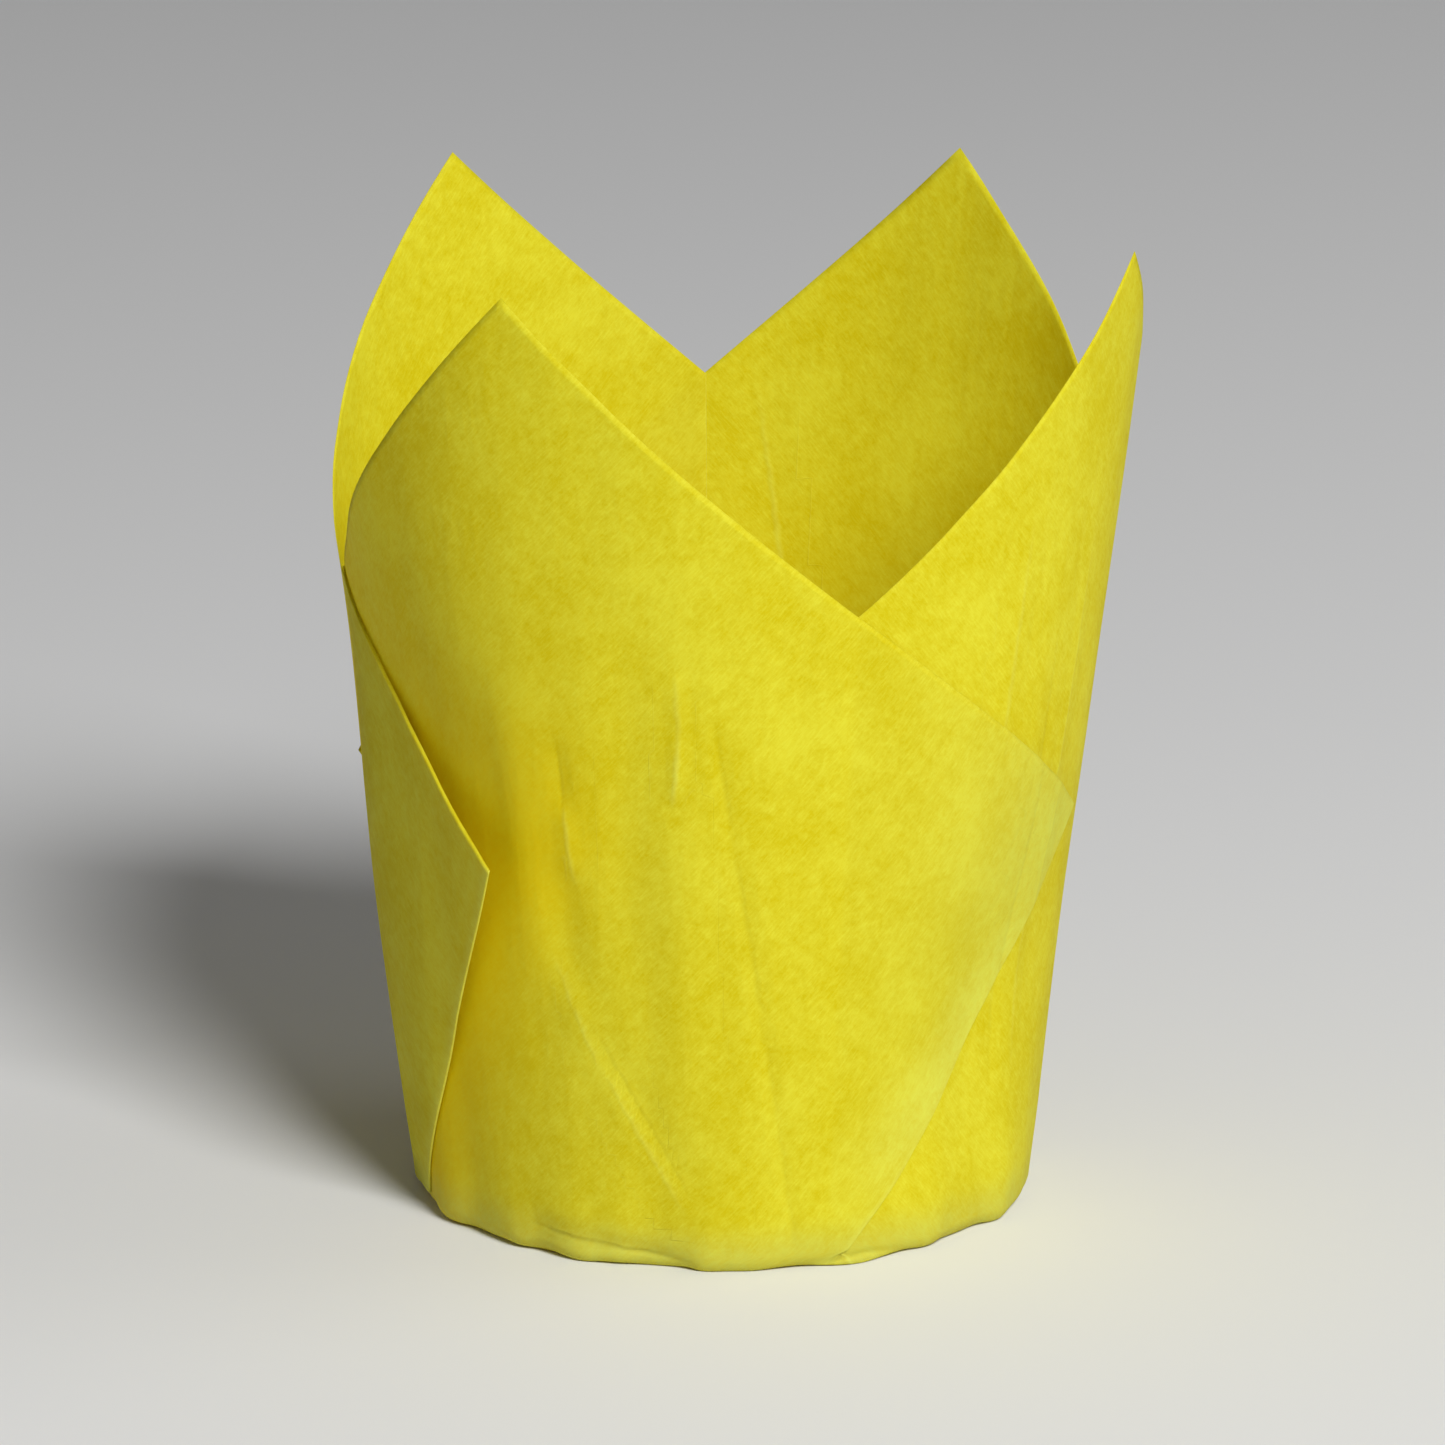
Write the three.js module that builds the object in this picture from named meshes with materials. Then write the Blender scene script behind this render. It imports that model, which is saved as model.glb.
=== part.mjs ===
// Tulip baking cup: one square sheet of greaseproof paper formed round a plug.
// The sheet's four corners stand up as petals, and the spare paper between two petals
// lies in one flat pleat, folded the same way all round. Millimetres, +Z up, with the
// origin at the middle of the base. Azimuth 0 is the front, along -Y, and turns to +X.
import * as THREE from "three";

// Driving dimensions of the sheet and the mould
const sheetSide = 150;
const baseRadius = 25;
const wallAngle = 6.9;
const edgeRadius = 2.5;
const paperThickness = 0.2;

// Pitch from one layer of a pleat to the next
const layerPitch = 0.45;

// Each petal's middle, how far the outer fold of the pleat beside it bows out above its
// root, and how far that pleat's free corner stands off the wall
const petals = [
  { azimuth: -140, foldBow: 4.5, cornerLift: 2.4 },
  { azimuth: -29.5, foldBow: 0, cornerLift: 0.1 },
  { azimuth: 69, foldBow: 1, cornerLift: 0.9 },
  { azimuth: 145.5, foldBow: 0.5, cornerLift: 2.2 },
];

// The outer fold starts this far past the inner one, and bows out over this height
const rootOverlap = 1.5;
const bowHeight = 3;

// The pleats come away from the wall over this height above the base, and the nearer to
// their corners, the more they bend away
const liftHeight = 18;
const liftCurve = 3;

// The stiff outer folds of the two front pleats press the wall a little flat under them.
// Each flat has its middle, its depth there, how far it reaches across and along itself,
// and how far it leans from upright, in degrees. The round base stays round, so a flat
// fades out towards the wall's foot.
const flats = [
  { azimuth: -60, height: 42, depth: 2.2, across: 10, along: 16, lean: -25 },
  { azimuth: 52, height: 20, depth: 2.1, across: 10, along: 14, lean: 38 },
];
const flatFade = 8;

// Fine gathers where the paper turns up from the base: two waves round the cup that fade
// with height, so that no two gathers are alike
const gatherDepth = 0.22;
const gatherCount = 17;
const gatherHeight = 14;
const secondDepth = 0.13;
const secondCount = 11;
const secondTurn = 57;

// How finely the sheet is divided
const columnStep = 7;
const flapColumns = 5;
const outerFoldSteps = 3;
const innerFoldSteps = 2;
const innerRing = 0.55;
const edgeRows = 5;
const wallRows = 10;

// How far the paper of a pleat spreads to each side of its root on the base, in degrees,
// and how late on the rounded edge it folds in
const rootSpread = 5;
const foldDelay = 4;

// The layers of a pleat part between these shares of the rounded edge
const partStart = 0.1;
const partEnd = 0.6;

const paperYellow = "#e2d63c";

const flare = THREE.MathUtils.degToRad(wallAngle);
const edgeTurn = Math.PI / 2 - flare;
const edgeTangent = edgeRadius * Math.tan(edgeTurn / 2);
const discRadius = baseRadius - edgeTangent;

// Slant distances run from the cone's apex, and the flat sheet is laid out from its own
// middle, so this is where the apex lies on a line through a petal's middle.
const apexToBase = baseRadius / Math.sin(flare);
const apexToWall = apexToBase + edgeTangent;
const sheetToWall = discRadius + edgeRadius * edgeTurn;
const apexOnSheet = sheetToWall - apexToWall;
const tipOnSheet = sheetSide * Math.SQRT1_2;

function lerp(from, to, share) {
  return from + (to - from) * share;
}

function radians(degrees) {
  return THREE.MathUtils.degToRad(degrees);
}

// Where a point of the wall lies on the flat sheet, across and along its petal's middle
function flatFromWall(azimuth, slant) {
  const turn = azimuth * Math.sin(flare);
  return [slant * Math.sin(turn), apexOnSheet + slant * Math.cos(turn)];
}

// The same step the other way: the sheet wraps round the cone without stretching
function wallFromFlat(across, along) {
  const up = along - apexOnSheet;
  return {
    azimuth: Math.atan2(across, up) / Math.sin(flare),
    slant: Math.hypot(across, up),
  };
}

// The point of the sheet's free edge that lies at this azimuth from its petal's middle
function rimAtAzimuth(azimuth) {
  const turn = azimuth * Math.sin(flare);
  const slant = (tipOnSheet - apexOnSheet) / (Math.cos(turn) + Math.sin(Math.abs(turn)));
  return flatFromWall(azimuth, slant)[0];
}

// Paper gathers a little where it turns up from the round base
function gather(azimuth, slant) {
  const fade = Math.exp(-Math.max(slant - apexToWall, 0) / gatherHeight);
  const first = gatherDepth * Math.cos(gatherCount * azimuth);
  const second = secondDepth * Math.sin(secondCount * azimuth + radians(secondTurn));
  return fade * (first + second);
}

// All the layers there follow a flat, so it is a matter of azimuth and height alone
function flatAt(azimuth, slant) {
  const depths = flats.map((flat) => {
    const turn = THREE.MathUtils.radToDeg(azimuth) - flat.azimuth;
    const aside = radians(THREE.MathUtils.euclideanModulo(turn + 180, 360) - 180) * baseRadius;
    const above = slant - apexToBase - flat.height;
    const lean = radians(flat.lean);
    const across = (aside * Math.cos(lean) - above * Math.sin(lean)) / flat.across;
    const along = (aside * Math.sin(lean) + above * Math.cos(lean)) / flat.along;
    return flat.depth * Math.exp(-(across ** 2) - along ** 2);
  });
  const fade = THREE.MathUtils.smoothstep(slant - apexToWall, 0, flatFade);
  return -fade * depths.reduce((sum, depth) => sum + depth, 0);
}

// A petal's sector with its neighbours' folds, all angles in radians
function sectorOf(index) {
  const count = petals.length;
  const turns = (step) => 360 * Math.floor((index + step) / count);
  const azimuthOf = (step) => petals[(index + step + count) % count].azimuth + turns(step);
  const middle = radians(azimuthOf(0));
  return {
    middle,
    left: (radians(azimuthOf(-1)) - middle) / 2,
    right: (radians(azimuthOf(1)) - middle) / 2,
    next: (index + 1) % count,
    overlap: rootOverlap / baseRadius,
    bow: petals[index].foldBow / baseRadius,
    lift: petals[index].cornerLift,
  };
}

// One column of the sheet runs from the wall's foot to the free edge. It keeps its foot's
// azimuth, the edge point it reaches, its layer and its place in the pleat.
function columnsOf(index) {
  const sector = sectorOf(index);
  const { overlap } = sector;
  const cornerAcross = tipOnSheet / 2;
  const leftSteps = Math.ceil(THREE.MathUtils.radToDeg(-sector.left) / columnStep);
  const rightSteps = Math.ceil(THREE.MathUtils.radToDeg(sector.right) / columnStep);
  const edgeAcross = rimAtAzimuth(sector.right);
  const columns = [];
  const add = (foot, across, layer, fold) => {
    columns.push({ sector, foot, across, layer, fold });
  };
  for (let step = 0; step < leftSteps; step += 1) {
    const azimuth = sector.left * (1 - step / leftSteps);
    add(azimuth, rimAtAzimuth(azimuth), 0, 0);
  }
  for (let step = 0; step < rightSteps; step += 1) {
    const azimuth = (sector.right * step) / rightSteps;
    add(azimuth, rimAtAzimuth(azimuth), 0, 0);
  }
  const flap = (share, layer) => {
    add(sector.right + overlap * share, lerp(edgeAcross, cornerAcross, share), layer, 0);
  };
  for (let step = 0; step <= flapColumns; step += 1) {
    flap(step / flapColumns, 2);
  }
  for (let step = 1; step < outerFoldSteps; step += 1) {
    const turn = (Math.PI * step) / outerFoldSteps;
    add(sector.right + overlap, cornerAcross, 1.5 + Math.cos(turn) / 2, Math.sin(turn));
  }
  for (let step = flapColumns; step >= 0; step -= 1) {
    flap(step / flapColumns, 1);
  }
  for (let step = 1; step < innerFoldSteps; step += 1) {
    const turn = (Math.PI * step) / innerFoldSteps;
    add(sector.right, edgeAcross, 0.5 + Math.cos(turn) / 2, -Math.sin(turn));
  }
  const faceColumns = leftSteps + rightSteps;
  const spread = radians(rootSpread);
  columns.forEach((column, place) => {
    const inPleat = (place - faceColumns) / (columns.length - faceColumns);
    const inFace = (column.foot - sector.left) / (sector.right - sector.left);
    column.inPleat = place >= faceColumns;
    column.discLayer = column.inPleat ? 2 * (1 - inPleat) : 0;
    column.discAzimuth = column.inPleat
      ? lerp(sector.right - spread, sector.right + spread, inPleat)
      : lerp(sector.left + spread, sector.right - spread, inFace);
  });
  return columns;
}

// The face below rises by two pitches from its left fold to its right one, so each pleat
// lies on the next face with the same pitch between all three layers.
function pitchesAt(column, azimuth, layer) {
  const { sector } = column;
  if (!column.inPleat) {
    return (2 * (azimuth - sector.left)) / (sector.right - sector.left);
  }
  const next = sectorOf(sector.next);
  return layer + (2 * (azimuth - sector.right)) / (next.right - next.left);
}

// A pleat's own columns bow out together, so its two layers still lie on each other
function bowAt(column, share, slant) {
  const { sector, foot } = column;
  if (!column.inPleat) {
    return 0;
  }
  const reach = (foot - sector.right) / sector.overlap;
  const rise = THREE.MathUtils.smoothstep(slant - apexToWall, 0, bowHeight);
  return sector.bow * reach * rise * (1 - share);
}

function liftAt(column, azimuth, slant) {
  const { sector, layer } = column;
  if (layer < 1) {
    return 0;
  }
  const corner = wallFromFlat(tipOnSheet / 2, tipOnSheet / 2);
  const reach = Math.max(azimuth - sector.right, 0) / (corner.azimuth - sector.right);
  const height = Math.min(Math.max(slant - apexToWall, 0) / liftHeight, 1);
  return sector.lift * reach ** liftCurve * height;
}

function pointAt(azimuth, radius, height) {
  return [radius * Math.sin(azimuth), -radius * Math.cos(azimuth), height];
}

// A point of the wall, from 0 at its foot to 1 at the free edge
function wallPoint(column, share) {
  const { sector, foot, across, fold } = column;
  const start = flatFromWall(foot, apexToWall);
  const end = [across, tipOnSheet - Math.abs(across)];
  const place = wallFromFlat(lerp(start[0], end[0], share), lerp(start[1], end[1], share));
  const { slant } = place;
  const radius = slant * Math.sin(flare);
  const bow = bowAt(column, share, slant);
  const azimuth = place.azimuth + bow + (fold * layerPitch) / 2 / radius;
  const stand = layerPitch * pitchesAt(column, place.azimuth, column.layer)
    + liftAt(column, place.azimuth, slant)
    + flatAt(sector.middle + azimuth, slant)
    + gather(sector.middle + azimuth, slant);
  return pointAt(
    sector.middle + azimuth,
    radius + stand * Math.cos(flare),
    paperThickness / 2 + (slant - apexToBase) * Math.cos(flare) - stand * Math.sin(flare),
  );
}

// A point of the rounded edge between the base and the wall, from 0 to 1 up its arc. The
// pleats open out and lose their pitch on the way down, so the base stays flat.
function edgePoint(column, share) {
  const { sector, foot, fold, discAzimuth } = column;
  const folded = share ** foldDelay;
  const azimuth = lerp(discAzimuth, foot + (fold * layerPitch) / 2 / baseRadius, folded);
  const layer = lerp(column.discLayer, column.layer, folded);
  const stand = THREE.MathUtils.smoothstep(share, partStart, partEnd)
    * (layerPitch * pitchesAt(column, foot, layer) + gather(sector.middle + azimuth, apexToWall));
  const turn = edgeTurn * share;
  const reach = edgeRadius + stand;
  return pointAt(
    sector.middle + azimuth,
    discRadius + reach * Math.sin(turn),
    paperThickness / 2 + edgeRadius - reach * Math.cos(turn),
  );
}

function discPoint(column, share) {
  return pointAt(column.sector.middle + column.discAzimuth, discRadius * share, paperThickness / 2);
}

// The sheet's rows, from a ring on the base to the free edge
function rowsOf(columns) {
  const rows = [columns.map((column) => discPoint(column, innerRing))];
  for (let row = 0; row < edgeRows; row += 1) {
    rows.push(columns.map((column) => edgePoint(column, row / edgeRows)));
  }
  for (let row = 0; row <= wallRows; row += 1) {
    rows.push(columns.map((column) => wallPoint(column, row / wallRows)));
  }
  return rows;
}

// The sheet without thickness, as one skin that closes round the base's middle
function skinOf(rows) {
  const width = rows[0].length;
  const at = (row, column) => 1 + row * width + (column % width);
  const points = [[0, 0, paperThickness / 2], ...rows.flat()];
  const faces = [];
  for (let column = 0; column < width; column += 1) {
    faces.push([0, at(0, column + 1), at(0, column)]);
    for (let row = 0; row + 1 < rows.length; row += 1) {
      faces.push([at(row, column), at(row, column + 1), at(row + 1, column)]);
      faces.push([at(row, column + 1), at(row + 1, column + 1), at(row + 1, column)]);
    }
  }
  const geometry = new THREE.BufferGeometry();
  geometry.setAttribute("position", new THREE.Float32BufferAttribute(points.flat(), 3));
  geometry.setIndex(faces.flat());
  geometry.computeVertexNormals();
  return { geometry, width, count: points.length };
}

// The skin is given the paper's thickness, half to each side, and closed round its edge
function thicken({ geometry, width, count }) {
  const position = geometry.getAttribute("position");
  const normal = geometry.getAttribute("normal");
  const points = [];
  for (const side of [1, -1]) {
    for (let index = 0; index < count; index += 1) {
      const point = new THREE.Vector3().fromBufferAttribute(position, index);
      const out = new THREE.Vector3().fromBufferAttribute(normal, index);
      point.addScaledVector(out, (side * paperThickness) / 2);
      points.push(point.x, point.y, point.z);
    }
  }
  const outer = Array.from(geometry.index.array);
  const inner = outer.map((index) => index + count).reverse();
  const edge = [];
  const first = count - width;
  for (let column = 0; column < width; column += 1) {
    const here = first + column;
    const next = first + ((column + 1) % width);
    edge.push(here, next, next + count);
    edge.push(here, next + count, here + count);
  }
  const solid = new THREE.BufferGeometry();
  solid.setAttribute("position", new THREE.Float32BufferAttribute(points, 3));
  solid.setIndex([...outer, ...inner, ...edge]);
  solid.computeVertexNormals();
  return solid;
}

function bakingCup() {
  const columns = petals.flatMap((petal, index) => columnsOf(index));
  const material = new THREE.MeshStandardMaterial({
    color: paperYellow,
    roughness: 0.78,
    metalness: 0,
  });
  const mesh = new THREE.Mesh(thicken(skinOf(rowsOf(columns))), material);
  mesh.name = "paper_cup";
  return mesh;
}

const cup = new THREE.Group();
cup.name = "tulip_baking_cup";
cup.add(bakingCup());

export default cup;
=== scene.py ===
# %% [markdown]
# A tulip baking cup is one square sheet of greaseproof paper, pressed round a plug. The
# corners of the square stand up as four petals, and the spare paper between two petals
# lies in a flat pleat. The frame's solid cup holds the size and the place. It could be
# shown as it is, but its paper is thick and its layers stand apart, so this lesson folds
# a fine sheet over the same form and finishes the paper.

# %% Load the frame
import math

import bmesh
import bpy
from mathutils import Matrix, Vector, noise


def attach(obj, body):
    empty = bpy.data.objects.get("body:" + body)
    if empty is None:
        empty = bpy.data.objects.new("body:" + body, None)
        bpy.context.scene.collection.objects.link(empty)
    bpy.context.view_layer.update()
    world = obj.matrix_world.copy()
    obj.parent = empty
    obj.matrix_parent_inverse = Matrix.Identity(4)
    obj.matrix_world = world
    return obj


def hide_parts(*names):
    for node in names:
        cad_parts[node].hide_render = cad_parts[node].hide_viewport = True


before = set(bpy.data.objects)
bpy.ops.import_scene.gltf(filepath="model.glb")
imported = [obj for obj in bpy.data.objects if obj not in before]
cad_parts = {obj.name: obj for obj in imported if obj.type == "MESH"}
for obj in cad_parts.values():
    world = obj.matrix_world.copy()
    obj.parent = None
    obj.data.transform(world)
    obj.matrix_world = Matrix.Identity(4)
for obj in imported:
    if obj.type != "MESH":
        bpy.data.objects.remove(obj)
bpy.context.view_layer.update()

# %% [markdown]
# The cup is pressed from a 150 mm sheet over a 50 mm base. Its sizes could be read off the
# solid, but the sheet is what is cut and folded, so the few sizes that make it are named
# here, in metres, and the rest is worked out from them. Azimuths are in degrees from the
# front, which looks along -Y, and turn towards +X. Each petal has a middle, and beside it
# a pleat whose outer fold may bow out above its root, and whose free corner stands off
# the wall. The pitch goes from the middle of one layer of paper to the next.

# %% Sizes of the sheet and the form
MM = 0.001
sheet_side = 150 * MM
base_radius = 25 * MM
edge_radius = 1.6 * MM
paper_thickness = 0.06 * MM
layer_pitch = 0.13 * MM
wall_flare = math.radians(6.9)

petals = [
    {"azimuth": -140, "fold_bow": 4.5 * MM, "corner_lift": 3.2 * MM, "column_step": 2.2},
    {"azimuth": -29.5, "fold_bow": 0, "corner_lift": 0.4 * MM, "column_step": 0.8},
    {"azimuth": 69, "fold_bow": 1 * MM, "corner_lift": 1.1 * MM, "column_step": 1.4},
    {"azimuth": 145.5, "fold_bow": 0.5 * MM, "corner_lift": 2.4 * MM, "column_step": 2.2},
]
root_overlap = 1.5 * MM
lift_height = 18 * MM
lift_curve = 2.6

edge_turn = math.pi / 2 - wall_flare
edge_tangent = edge_radius * math.tan(edge_turn / 2)
disc_radius = base_radius - edge_tangent
apex_to_base = base_radius / math.sin(wall_flare)
apex_to_wall = apex_to_base + edge_tangent
sheet_to_wall = disc_radius + edge_radius * edge_turn
apex_on_sheet = sheet_to_wall - apex_to_wall
tip_on_sheet = sheet_side * math.sqrt(0.5)
print("petal tip lies", round(tip_on_sheet / MM, 1), "mm from the middle of the sheet")

# %% [markdown]
# The wall is a cone, and paper doesn't stretch. The petals could be drawn straight on the
# wall, but then their slanting rims would be guesses. So the sheet wraps round the cone
# as a cone is unrolled, and the rims fall where the square's edges put them. These
# helpers go from the wall to the flat sheet and back, both measured from the middle line
# of one petal.

# %% Between the flat sheet and the wall
def lerp(start, end, share):
    return start + (end - start) * share


def ease(value, low, high):
    share = min(max((value - low) / (high - low), 0), 1)
    return share * share * (3 - 2 * share)


def bell(value, middle, width):
    return math.exp(-((value - middle) / width) ** 2)


def flat_from_wall(azimuth, slant):
    turn = azimuth * math.sin(wall_flare)
    return slant * math.sin(turn), apex_on_sheet + slant * math.cos(turn)


def wall_from_flat(across, along):
    up = along - apex_on_sheet
    return math.atan2(across, up) / math.sin(wall_flare), math.hypot(across, up)


def rim_at(azimuth):
    """How far across the sheet its free edge lies at this azimuth."""
    turn = azimuth * math.sin(wall_flare)
    slant = (tip_on_sheet - apex_on_sheet) / (math.cos(turn) + math.sin(abs(turn)))
    return flat_from_wall(azimuth, slant)[0]


corner_azimuth, corner_slant = wall_from_flat(tip_on_sheet / 2, tip_on_sheet / 2)
corner_height = (corner_slant - apex_to_base) * math.cos(wall_flare)
print("a pleat's free corner is", round(corner_height / MM, 1), "mm up and",
      round(math.degrees(corner_azimuth), 1), "degrees from its petal's middle")

# %% [markdown]
# The real cup isn't quite even, and its petals stand at different distances. Four equal
# quarters would be simpler, but would look stamped. So each petal gets a sector that ends
# halfway to its neighbours, measured from its own middle, with the overlap, bow and lift
# of the pleat on its right.

# %% The sector of each petal
def sector_of(index):
    count = len(petals)
    azimuths = [
        petals[(index + step) % count]["azimuth"] + 360 * ((index + step) // count)
        for step in (-1, 0, 1)
    ]
    left, middle, right = (math.radians(a) for a in azimuths)
    return {
        "index": index,
        "middle": middle,
        "left": (left - middle) / 2,
        "right": (right - middle) / 2,
        "overlap": root_overlap / base_radius,
        "bow": petals[index]["fold_bow"] / base_radius,
        "lift": petals[index]["corner_lift"],
    }


sectors = [sector_of(index) for index in range(len(petals))]
widths = [round(math.degrees(sector["right"] - sector["left"]), 1) for sector in sectors]
print("the petals' faces turn through", widths, "degrees")

# %% [markdown]
# A pleat is three layers of the one sheet, with two round folds. Three separate flaps
# would show their edges where the paper really turns, so the sheet stays whole. It is laid
# out in columns that run from the foot of the wall to the free edge. A petal's columns
# cross its face, double back over the pleat's outer fold, run under it, and turn forward
# again at the inner fold, where the next petal starts. They lie closer towards the outer
# fold, which is creased sharp.

# %% The columns of one petal
flap_columns = 17
outer_fold_steps = 5
inner_fold_steps = 4
root_spread = math.radians(5)


def columns_of(index):
    sector = sectors[index]
    left, right, overlap = sector["left"], sector["right"], sector["overlap"]
    corner_across = tip_on_sheet / 2
    edge_across = rim_at(right)
    column_step = math.radians(petals[index]["column_step"])
    columns = []

    def add(foot, across, layer=0.0, fold=0.0, in_pleat=True, reach=0.0):
        columns.append({
            "sector": sector, "foot": foot, "across": across, "layer": layer,
            "fold": fold, "in_pleat": in_pleat, "reach": reach,
        })

    left_steps = math.ceil(-left / column_step)
    right_steps = math.ceil(right / column_step)
    for step in range(left_steps):
        azimuth = left * (1 - step / left_steps)
        add(azimuth, rim_at(azimuth), in_pleat=False)
    for step in range(right_steps):
        azimuth = right * step / right_steps
        add(azimuth, rim_at(azimuth), in_pleat=False)
    face_columns = len(columns)
    shares = [math.sin(math.pi / 2 * step / flap_columns) for step in range(flap_columns + 1)]
    for share in shares:
        add(right + overlap * share, lerp(edge_across, corner_across, share), 2, reach=share)
    for step in range(1, outer_fold_steps):
        turn = math.pi * step / outer_fold_steps
        layer = 1.5 + math.cos(turn) / 2
        add(right + overlap, corner_across, layer, math.sin(turn), reach=1)
    for share in reversed(shares):
        add(right + overlap * share, lerp(edge_across, corner_across, share), 1, reach=share)
    for step in range(1, inner_fold_steps):
        turn = math.pi * step / inner_fold_steps
        add(right, edge_across, 0.5 + math.cos(turn) / 2, -math.sin(turn))
    pleat_columns = len(columns) - face_columns
    for place, column in enumerate(columns):
        along_pleat = (place - face_columns) / pleat_columns
        along_face = (column["foot"] - left) / (right - left)
        if column["in_pleat"]:
            column["disc_layer"] = 2 * (1 - along_pleat)
            column["disc_azimuth"] = lerp(right - root_spread, right + root_spread, along_pleat)
        else:
            column["disc_layer"] = 0.0
            column["disc_azimuth"] = lerp(left + root_spread, right - root_spread, along_face)
    return columns


columns = [column for index in range(len(petals)) for column in columns_of(index)]
print(len(columns), "columns round the sheet")

# %% [markdown]
# Paper is never as smooth as the form. It gathers where it turns up from the base, and
# the stiff folds of the front pleats press it flat. A bump in the material could shade
# this, but the outline would stay smooth, so the points move. Each step off the wall
# depends on azimuth and height alone, so the layers of a pleat stay nested. A flat has its
# middle and depth, its reach across and along itself, and its lean in degrees.

# %% Gathers and flats
foot_height = edge_tangent * math.cos(wall_flare)
gather_height = 14 * MM
gathers = [
    {"depth": 0.14 * MM, "count": 17, "turn": 90},
    {"depth": 0.10 * MM, "count": 11, "turn": 57},
]
flats = [
    {"azimuth": -60, "height": 42 * MM, "depth": 1.9 * MM, "across": 10 * MM,
     "along": 16 * MM, "lean": -25},
    {"azimuth": 52, "height": 20 * MM, "depth": 1.9 * MM, "across": 10 * MM,
     "along": 14 * MM, "lean": 38},
]
flat_fade = 8 * MM
print("the wall starts", round(foot_height / MM, 2), "mm above the base")


def turned(azimuth, middle):
    """The azimuth from this middle, from -180 to 180 degrees."""
    return (math.degrees(azimuth) - middle + 180) % 360 - 180


def flat_at(azimuth, height):
    step = 0.0
    for flat in flats:
        aside = math.radians(turned(azimuth, flat["azimuth"])) * base_radius
        above = height - flat["height"]
        lean = math.radians(flat["lean"])
        across = (aside * math.cos(lean) - above * math.sin(lean)) / flat["across"]
        along = (aside * math.sin(lean) + above * math.cos(lean)) / flat["along"]
        step -= flat["depth"] * math.exp(-across ** 2 - along ** 2)
    return step * ease(height - foot_height, 0, flat_fade)


def gather_at(azimuth, height):
    fade = math.exp(-max(height - foot_height, 0) / gather_height)
    waves = [
        g["depth"] * math.sin(g["count"] * azimuth + math.radians(g["turn"])) for g in gathers
    ]
    return fade * sum(waves)


# %% [markdown]
# The wall also cockles in soft upright waves, and just above the base it puckers, where
# the press drew the paper in. More sine waves would look like a pattern, so both are
# smooth noise on the round wall, which meets itself without a seam. The fine cockles are
# narrower and lower than the wide ones, by the two factors below.

# %% Cockles and puckers
pucker_depth = 0.34 * MM
pucker_width = 3.2 * MM
pucker_height = 2.6 * MM
cockle_depth = 0.34 * MM
cockle_width = 9 * MM
cockle_height = 34 * MM
fine_cockles = 0.35
fine_narrower = 2.6
fine_lower = 1.6


def round_noise(azimuth, height, width, tall):
    """Smooth noise on the wall, with cells this wide and tall."""
    radius = base_radius / width
    return noise.noise(Vector((
        math.sin(azimuth) * radius, math.cos(azimuth) * radius, height / tall,
    )))


def pucker_at(azimuth, height):
    fade = math.exp(-max(height - foot_height, 0) / pucker_height)
    return pucker_depth * fade * round_noise(azimuth, height, pucker_width, 3 * pucker_height)


def cockle_at(azimuth, height):
    wide = round_noise(azimuth, height, cockle_width, cockle_height)
    fine = round_noise(
        azimuth, height, cockle_width / fine_narrower, cockle_height / fine_lower
    )
    return cockle_depth * (wide + fine_cockles * fine)


samples = [cockle_at(math.radians(azimuth), corner_height) for azimuth in range(360)]
print("cockles step from", round(min(samples) / MM, 2), "to", round(max(samples) / MM, 2), "mm")
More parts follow.
